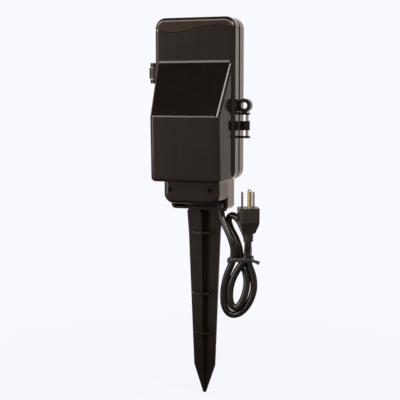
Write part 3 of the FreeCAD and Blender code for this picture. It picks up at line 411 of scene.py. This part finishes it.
def settings():
    """The settings kept on the scene."""
    return bpy.context.scene.power_stake


def paint(node, material):
    """Gives a CAD node's own object a finish."""
    mesh = CAD_NODES[node].data
    mesh.materials.clear()
    mesh.materials.append(material)


def dress(piece, material):
    """Gives a new piece its finish and lets it ride on the frame."""
    piece.data.materials.append(material)
    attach(piece, "frame")
    return piece


# ---------------------------------------------------------------- camera


SENSOR_WIDTH = 36.0
CLIP_END = 60.0


class PlaceCamera(Operator):
    """Stand the camera in front of the cover, a little towards the latch and above the plug"""

    bl_idname = "power_stake.camera"
    bl_label = "Camera"

    def execute(self, context):
        s = settings().camera
        data = bpy.data.cameras.new("Camera")
        data.lens = s.lens
        data.sensor_width = SENSOR_WIDTH
        data.clip_end = CLIP_END
        camera = bpy.data.objects.new("Camera", data)
        context.scene.collection.objects.link(camera)
        camera.location = (s.distance * math.sin(s.azimuth), -s.distance * math.cos(s.azimuth), s.height)
        camera.rotation_euler = Euler((math.pi / 2 - s.pitch, 0.0, s.azimuth + s.pan))
        context.scene.camera = camera
        return {"FINISHED"}


# ---------------------------------------------------------------- cord

# The route in order: gland to tie, long turn, short loop, long turn again, tie to plug. Its heights
# are for a gland whose mouth is at MOUTH, and move with the gland.
MOUTH = 0.2084
CORD_RUN = [
    (0.0240, -0.0110, 0.2135),
    (0.0240, -0.0110, 0.2038),
    (0.0276, -0.0126, 0.1945),
    (0.0334, -0.0146, 0.1855),
    (0.0384, -0.0162, 0.1750),
    (0.0406, -0.0165, 0.1670),
    (0.0406, -0.0165, 0.1590),
]
OUTER_TURN = [
    (0.0385, -0.0166, 0.1500),
    (0.0332, -0.0164, 0.1385),
    (0.0296, -0.0162, 0.1260),
    (0.0280, -0.0158, 0.1125),
    (0.0292, -0.0150, 0.0985),
    (0.0352, -0.0130, 0.0900),
    (0.0445, -0.0106, 0.0908),
    (0.0530, -0.0090, 0.0985),
    (0.0590, -0.0081, 0.1095),
    (0.0624, -0.0077, 0.1225),
    (0.0606, -0.0075, 0.1370),
    (0.0555, -0.0075, 0.1480),
]
SHORT_LOOP = [
    (0.0548, -0.0076, 0.1565),
    (0.0552, -0.0072, 0.1680),
    (0.0528, -0.0068, 0.1790),
    (0.0480, -0.0064, 0.1890),
    (0.0425, -0.0058, 0.1990),
    (0.0350, -0.0045, 0.2040),
    (0.0290, -0.0032, 0.1990),
    (0.0318, -0.0032, 0.1885),
    (0.0388, -0.0046, 0.1780),
    (0.0440, -0.0064, 0.1670),
    (0.0458, -0.0076, 0.1560),
]
INNER_TURN = [
    (0.0482, -0.0080, 0.1480),
    (0.0528, -0.0090, 0.1385),
    (0.0545, -0.0104, 0.1265),
    (0.0524, -0.0122, 0.1130),
    (0.0472, -0.0142, 0.1015),
    (0.0410, -0.0160, 0.0985),
    (0.0368, -0.0170, 0.1050),
    (0.0360, -0.0170, 0.1160),
    (0.0378, -0.0168, 0.1275),
    (0.0425, -0.0166, 0.1390),
    (0.0498, -0.0166, 0.1500),
]
PLUG_RUN = [
    (0.0566, -0.0166, 0.1590),
    (0.0569, -0.0168, 0.1660),
    (0.0581, -0.0192, 0.1725),
    (0.0585, -0.0200, 0.1785),
]


# The tie: where the strands it holds end, its band, and its two twisted ends
TIE_STRANDS_END = 0.0612
TIE_INSET = 0.0004
TIE_STEPS = 160
TIE_THICKNESS = 0.0014
TIE_WIDTH = 0.0048
SECTION_STEPS = 14
TWIST_STEPS = 90
TWIST_TURNS = 2.6
TWIST_RADIUS = 0.0009
TWIST_DROOP = 0.0022


class LayCord(Operator):
    """Lay the power cord: out of the gland, through the tie, round the hank and up to the plug"""

    bl_idname = "power_stake.cord"
    bl_label = "Cord"

    def execute(self, context):
        s = settings().cord
        low, _ = span("cord_gland")
        gland = middle("cord_gland")
        route = np.array([*CORD_RUN, *OUTER_TURN, *SHORT_LOOP, *INNER_TURN, *PLUG_RUN])
        route[:, 2] += low[2] - MOUTH
        route[:2, 0] = gland[0]
        data = bpy.data.curves.new("cord", "CURVE")
        data.dimensions = "3D"
        data.bevel_depth = s.diameter / 2
        data.bevel_resolution = 6
        data.resolution_u = 10
        data.use_fill_caps = True
        spline = data.splines.new("NURBS")
        spline.points.add(len(route) - 1)
        for point, place in zip(spline.points, route):
            point.co = (*place, 1.0)
        spline.order_u = 3
        spline.use_endpoint_u = True
        cord = bpy.data.objects.new("cord", data)
        context.scene.collection.objects.link(cord)
        dress(cord, cord_jacket())
        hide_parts("power_cord", "plug_cord", "cord_hank")
        tie = self.tie(satin_vinyl("tie vinyl", (0.01, 0.01, 0.01, 1.0), 0.4))
        return {"FINISHED"}

    def tie(self, material):
        """A flat tie round the strands, its ends twisted together beside them.

        The band follows a superellipse of power 4 and sways up and down by a millimetre. The two
        ends are helices half a turn apart that run out to the tie's right-hand end, spread a little
        over their last fifth, and droop with the square of the way.
        """
        low, high = span("twist_tie")
        strands_end = np.array([TIE_STRANDS_END, high[1], high[2]])
        centre = (low + strands_end) / 2
        half_x, half_y, _ = (strands_end - low) / 2 - TIE_INSET
        t = np.linspace(0.0, FULL_TURN, TIE_STEPS, endpoint=False)
        outline = superellipse(half_x, half_y, 4.0, TIE_STEPS)
        sway = 0.0011 * np.cos(t) + 0.0005 * np.sin(3 * t)
        section = superellipse(TIE_THICKNESS / 2, TIE_WIDTH / 2, 3.0, SECTION_STEPS)
        inward = outline / np.linalg.norm(outline, axis=1)[:, None]
        points = np.empty((TIE_STEPS, SECTION_STEPS, 3))
        points[..., :2] = outline[:, None] + inward[:, None] * section[None, :, :1]
        points[..., 2] = sway[:, None] + section[:, 1][None]
        pieces = [grid_mesh("tie_band", points + centre, around=True, along=True)]
        along = np.linspace(0.0, 1.0, TWIST_STEPS)
        start = centre + np.array([half_x - 0.0006, -0.0045, 0.0])
        reach = high[0] - 0.0012 - start[0]
        spread = 0.0010 + 0.0012 * np.clip(along - 0.8, 0.0, 1.0) * 5.0
        for number in range(2):
            turn = along * FULL_TURN * TWIST_TURNS + np.pi * number
            line = np.stack([along * reach, spread * np.cos(turn), spread * np.sin(turn)], axis=-1)
            line[:, 2] -= TWIST_DROOP * along**2
            pieces.append(sweep(f"tie_end_{number}", line + start, TWIST_RADIUS, 10))
        tie = dress(joined("tie", pieces), material)
        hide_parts("twist_tie")
        return tie


# ---------------------------------------------------------------- shells


SKIRT_INSET = 0.0026
SKIRT_THICKNESS = 0.0005
SKIRT_TOP = 0.0072


class FinishShells(Operator):
    """Finish the housing, the lid, the sensor cap, the front moulding, the latch and the stake"""

    bl_idname = "power_stake.shells"
    bl_label = "Shells"

    def execute(self, context):
        s = settings().shell
        brown = tuple(s.brown)
        shell = gloss_moulding("shell gloss", brown, s.roughness)
        for node in ("rear_housing", "lid", "outlet_deck", "latch"):
            paint(node, shell)
        smoked = gloss_moulding("smoked cap", tuple(s.smoke), s.roughness)
        paint("sensor_cap", smoked)
        self.skirt(smoked)
        paint("stake", gloss_moulding("stake gloss", scaled(brown, 1.2), s.roughness + 0.03, 2.0))
        paint("cord_gland", satin_vinyl("gland vinyl", (0.01, 0.009, 0.009, 1.0)))
        paint("lid_seal", satin_vinyl("seal rubber", (0.012, 0.012, 0.012, 1.0), 0.6))
        return {"FINISHED"}

    def skirt(self, material):
        """A thin strip inside the cap's left wall that closes the view through the wave's gap.

        It is a box between two corners, as two rings of four points.
        """
        low, high = span("sensor_cap")
        x0, x1 = low[0] + SKIRT_INSET, low[0] + SKIRT_INSET + SKIRT_THICKNESS
        y0, y1 = low[1] + 0.0045, high[1] - 0.002
        z0, z1 = low[2] + 0.0002, low[2] + SKIRT_TOP
        ring = np.array([(x0, y0, 0.0), (x1, y0, 0.0), (x1, y1, 0.0), (x0, y1, 0.0)])
        rings = np.stack([ring + (0.0, 0.0, z0), ring + (0.0, 0.0, z1)])
        dress(grid_mesh("cap_skirt", rings, around=True, caps=True), material)


class FinishInside(Operator):
    """Finish the receptacles, the dial, the board and everything on it, the busbars and the leads"""

    bl_idname = "power_stake.inside"
    bl_label = "Inside"

    def execute(self, context):
        outlet = satin_vinyl("outlet plastic", (0.02, 0.019, 0.018, 1.0), 0.42)
        for number in range(1, 5):
            paint(f"outlet_{number}", outlet)
        paint("dial_knob", satin_vinyl("dial plastic", (0.25, 0.24, 0.22, 1.0), 0.4))
        paint("dial_switch", satin_vinyl("switch plastic", (0.03, 0.03, 0.035, 1.0), 0.45))
        paint("circuit_board", satin_vinyl("solder mask", (0.01, 0.09, 0.03, 1.0), 0.3))
        paint("relay", satin_vinyl("relay plastic", (0.01, 0.03, 0.2, 1.0), 0.35))
        paint("capacitor", satin_vinyl("capacitor sleeve", (0.02, 0.02, 0.03, 1.0), 0.35))
        copper = plated_metal("copper strip", colour(200, 130, 95), 0.35)
        for node in ("line_busbar", "neutral_busbar", "ground_busbar"):
            paint(node, copper)
        paint("line_lead", satin_vinyl("black lead", (0.012, 0.012, 0.012, 1.0)))
        paint("neutral_lead", satin_vinyl("white lead", (0.7, 0.7, 0.66, 1.0)))
        paint("ground_lead", satin_vinyl("green lead", (0.02, 0.22, 0.05, 1.0)))
        paint("light_sensor", satin_vinyl("sensor resin", (0.3, 0.22, 0.15, 1.0), 0.2))
        paint("status_led", satin_vinyl("lamp resin", (0.45, 0.03, 0.02, 1.0), 0.2))
        return {"FINISHED"}


class FinishMetal(Operator):
    """Finish the pins, the screws and the plug's prongs"""

    bl_idname = "power_stake.metal"
    bl_label = "Metal"

    def execute(self, context):
        steel = plated_metal("bright steel", colour(200, 198, 195), 0.28)
        for node in ("hinge_pin_upper", "hinge_pin_lower", "latch_pin"):
            paint(node, steel)
        zinc = plated_metal("zinc plate", colour(120, 112, 104), 0.34)
        for node in ("housing_screws", "stake_screw"):
            paint(node, zinc)
        paint("neck_screws", plated_metal("black oxide", (0.012, 0.009, 0.007, 1.0), 0.4))
        paint("plug_blades", plated_metal("blade plate", colour(160, 152, 146), 0.3))
        paint("plug_ground_pin", plated_metal("pin plate", colour(182, 164, 130), 0.3))
        return {"FINISHED"}


class FinishPlug(Operator):
    """Finish the moulded plug and its strain relief"""

    bl_idname = "power_stake.plug"
    bl_label = "Plug"

    def execute(self, context):
        vinyl = satin_vinyl("plug vinyl", (0.0075, 0.0055, 0.0045, 1.0), 0.36)
        paint("plug_body", vinyl)
        paint("plug_strain_relief", vinyl)
        return {"FINISHED"}


# ---------------------------------------------------------------- studio


# Each light: name, place, width, height in metres, and watts
PANEL_LIGHTS = (
    ("right panel", (1.15, -0.75, 1.25), 0.8, 0.8, 24.0),
    ("left panel", (-1.4, -1.5, 0.6), 1.15, 1.3, 13.0),
    ("front strip", (-0.6, -1.65, 1.25), 2.6, 0.8, 34.0),
)
LIGHTS_AIM = (0.0, 0.0, 0.25)
FLOOR_RADII = (0.0001, 0.15, 0.3, 0.45)
FLOOR_HEIGHT = -0.0015
FLOOR_FADE = (0.44, 0.16)
FLOOR_MIRRORED = (0.05, 0.045, 0.04, 1.0)
BACK_EDGE = (0.93, 0.70)
BACK_LEVEL = 1.15
LEFT_EDGE = (-0.33, -0.41)
LEFT_GAIN = 1.4
TOP_EDGE = (0.28, 0.62)


class BuildStudio(Operator):
    """Build the pale floor, the even sky and the soft lights"""

    bl_idname = "power_stake.studio"
    bl_label = "Studio"

    def execute(self, context):
        s = settings().studio
        context.scene.view_settings.view_transform = "Standard"
        self.floor(tuple(s.background))
        self.room(s)
        for name, place, width, height, power in PANEL_LIGHTS:
            self.panel_light(name, place, width, height, power)
        return {"FINISHED"}

    def floor(self, background):
        """A round floor just below the tip, as pale as the sweep, that fades out towards its rim.

        It glows to the eye only, so that the stake doesn't mirror it.
        """
        radius = np.array(FLOOR_RADII)
        profile = np.stack([radius, np.full(len(radius), FLOOR_HEIGHT)], axis=-1)
        floor = lathe("floor", profile, 64)
        finish = Finish("floor paint", roughness=0.9, specular_ior_level=0.0, emission_strength=0.93)
        speckle = finish.blend(finish.noise(8.0), (0.05, 0.05, 0.05, 1.0), (0.06, 0.06, 0.06, 1.0))
        finish.set("Base Color", speckle)
        seen = finish.add("ShaderNodeLightPath", output="Is Camera Ray")
        finish.set("Emission Color", finish.blend(seen, FLOOR_MIRRORED, background))
        length = {"operation": "LENGTH"}
        distance = finish.add("ShaderNodeVectorMath", length, {0: finish.position()}, output="Value")
        finish.set("Alpha", finish.ramp(distance, *FLOOR_FADE))
        floor.data.materials.append(finish.material)

    def room(self, s):
        """The sky: even and pale to the eye; in mirrors pale behind, duller in front, dark above.

        Each edge is a pair of parts of a ray's direction, between which the level changes.
        """
        world = bpy.data.worlds.new("room")
        bpy.context.scene.world = world
        world.use_nodes = True
        world.node_tree.nodes.clear()
        sky = Nodes(world.node_tree)
        ray = sky.add("ShaderNodeTexCoord", output="Generated")
        left, back, up = (sky.add("ShaderNodeSeparateXYZ", {}, {0: ray}, axis) for axis in "XYZ")
        level = sky.between(sky.soft_ramp(back, *BACK_EDGE), BACK_LEVEL, s.front_level)
        level = level * sky.soft_ramp(left, *LEFT_EDGE, 1.0, LEFT_GAIN)
        level = sky.between(sky.soft_ramp(up, *TOP_EDGE), level, s.top_level)
        mirrored = sky.add("ShaderNodeBackground", {}, {"Color": s.warmth, "Strength": level})
        plain = sky.add("ShaderNodeBackground", {}, {"Color": s.background})
        seen = sky.add("ShaderNodeLightPath", output="Is Camera Ray")
        surface = sky.add("ShaderNodeMixShader", {}, {0: seen, 1: mirrored, 2: plain})
        output = world.node_tree.nodes.new("ShaderNodeOutputWorld")
        sky.feed(output.inputs["Surface"], surface)

    def panel_light(self, name, place, width, height, power):
        """A soft rectangular light aimed at the middle of the box."""
        data = bpy.data.lights.new(name, "AREA")
        data.shape = "RECTANGLE"
        data.size = width
        data.size_y = height
        data.energy = power
        light = bpy.data.objects.new(name, data)
        bpy.context.scene.collection.objects.link(light)
        light.location = place
        aim = Vector(LIGHTS_AIM) - Vector(place)
        light.rotation_euler = aim.to_track_quat("-Z", "Y").to_euler()


# ---------------------------------------------------------------- panel and run


class PowerStakePanel(Panel):
    """Buttons for each group of pieces, and their settings."""

    bl_idname = "VIEW3D_PT_power_stake"
    bl_label = "Power Stake"
    bl_space_type = "VIEW_3D"
    bl_region_type = "UI"
    bl_category = "Power Stake"

    def draw(self, context):
        for operator in STEPS:
            self.layout.operator(operator.bl_idname)
        for group in ("camera", "cord", "shell", "studio"):
            block = getattr(settings(), group)
            box = self.layout.box()
            box.label(text=group.title())
            for name in block.__annotations__:
                box.prop(block, name)


GROUPS = (CameraSettings, CordSettings, ShellSettings, StudioSettings, StakeSettings)
STEPS = (PlaceCamera, LayCord, FinishShells, FinishInside, FinishMetal, FinishPlug, BuildStudio)


def register():
    for kind in (*GROUPS, *STEPS, PowerStakePanel):
        bpy.utils.register_class(kind)
    bpy.types.Scene.power_stake = PointerProperty(type=StakeSettings)


def unregister():
    del bpy.types.Scene.power_stake
    for kind in reversed((*GROUPS, *STEPS, PowerStakePanel)):
        bpy.utils.unregister_class(kind)


def main():
    """Builds everything in order."""
    register()
    for step in STEPS:
        group, name = step.bl_idname.split(".")
        getattr(getattr(bpy.ops, group), name)()


if __name__ == "__main__":
    main()
